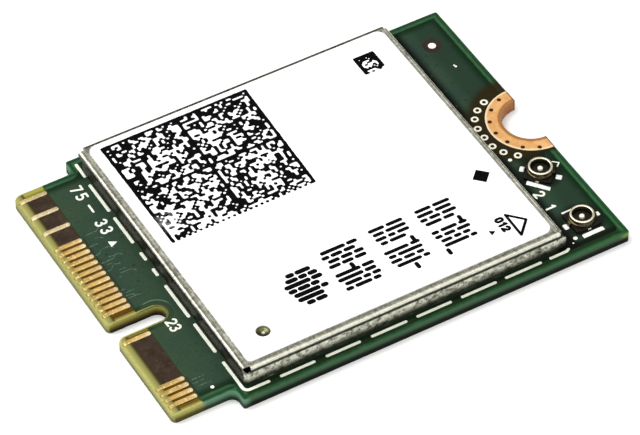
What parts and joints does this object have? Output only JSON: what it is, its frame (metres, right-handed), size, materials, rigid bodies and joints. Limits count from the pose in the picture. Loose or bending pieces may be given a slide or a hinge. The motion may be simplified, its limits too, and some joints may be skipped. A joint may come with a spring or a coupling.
{
  "type": "laptop wifi card",
  "caption": "Plug-in wifi card for a laptop: green circuit board with gold edge contacts and a screw notch, a shielded radio under a white label, and round antenna sockets.",
  "frame": {"origin": "below the middle of the card, on the board's underside", "axes": "+X from the edge contacts to the screw notch, +Y across the card, +Z from the board up through the shield"},
  "size_m": [0.03, 0.022, 0.0024],
  "materials": {
    "board": "green solder mask over glass laminate, satin gloss, gold plated contacts",
    "shield_frame_metal": "tin plated sheet, satin",
    "shield_lid_metal": "tin plated sheet, satin",
    "label_paper": "white coated paper, black print",
    "socket_shell": "gold plated, bright",
    "socket_insulator": "black moulded plastic",
    "socket_pin": "gold plated, bright",
    "chip_moulding": "black moulded resin",
    "thermal_pad_rubber": "soft silicone pad",
    "crystal_can": "plated can, satin",
    "inductor_moulding": "pressed powder",
    "filter_ceramic": "fired ceramic, matt",
    "capacitor_ceramic": "fired ceramic with metal ends",
    "resistor_ceramic": "dark coated ceramic with metal ends"
  },
  "bodies": {
    "root": {"circuit_board": "board", "shield_frame": "shield_frame_metal", "shield_lid": "shield_lid_metal", "label": "label_paper", "rf_socket_1_shell": "socket_shell", "rf_socket_1_insulator": "socket_insulator", "rf_socket_1_pin": "socket_pin", "rf_socket_2_shell": "socket_shell", "rf_socket_2_insulator": "socket_insulator", "rf_socket_2_pin": "socket_pin", "radio_chip": "chip_moulding", "thermal_pad": "thermal_pad_rubber", "crystal": "crystal_can", "memory_chip": "chip_moulding", "voltage_regulator": "chip_moulding", "power_inductor_1": "inductor_moulding", "power_inductor_2": "inductor_moulding", "front_end_module_1": "chip_moulding", "front_end_module_2": "chip_moulding", "diplexer_1": "filter_ceramic", "diplexer_2": "filter_ceramic", "band_filter_1": "filter_ceramic", "band_filter_2": "filter_ceramic", "capacitor_1": "capacitor_ceramic", "capacitor_2": "capacitor_ceramic", "capacitor_3": "capacitor_ceramic", "capacitor_4": "capacitor_ceramic", "capacitor_5": "capacitor_ceramic", "capacitor_6": "capacitor_ceramic", "capacitor_7": "capacitor_ceramic", "capacitor_8": "capacitor_ceramic", "resistor_1": "resistor_ceramic", "resistor_2": "resistor_ceramic", "resistor_3": "resistor_ceramic", "resistor_4": "resistor_ceramic"}
  },
  "joints": []
}
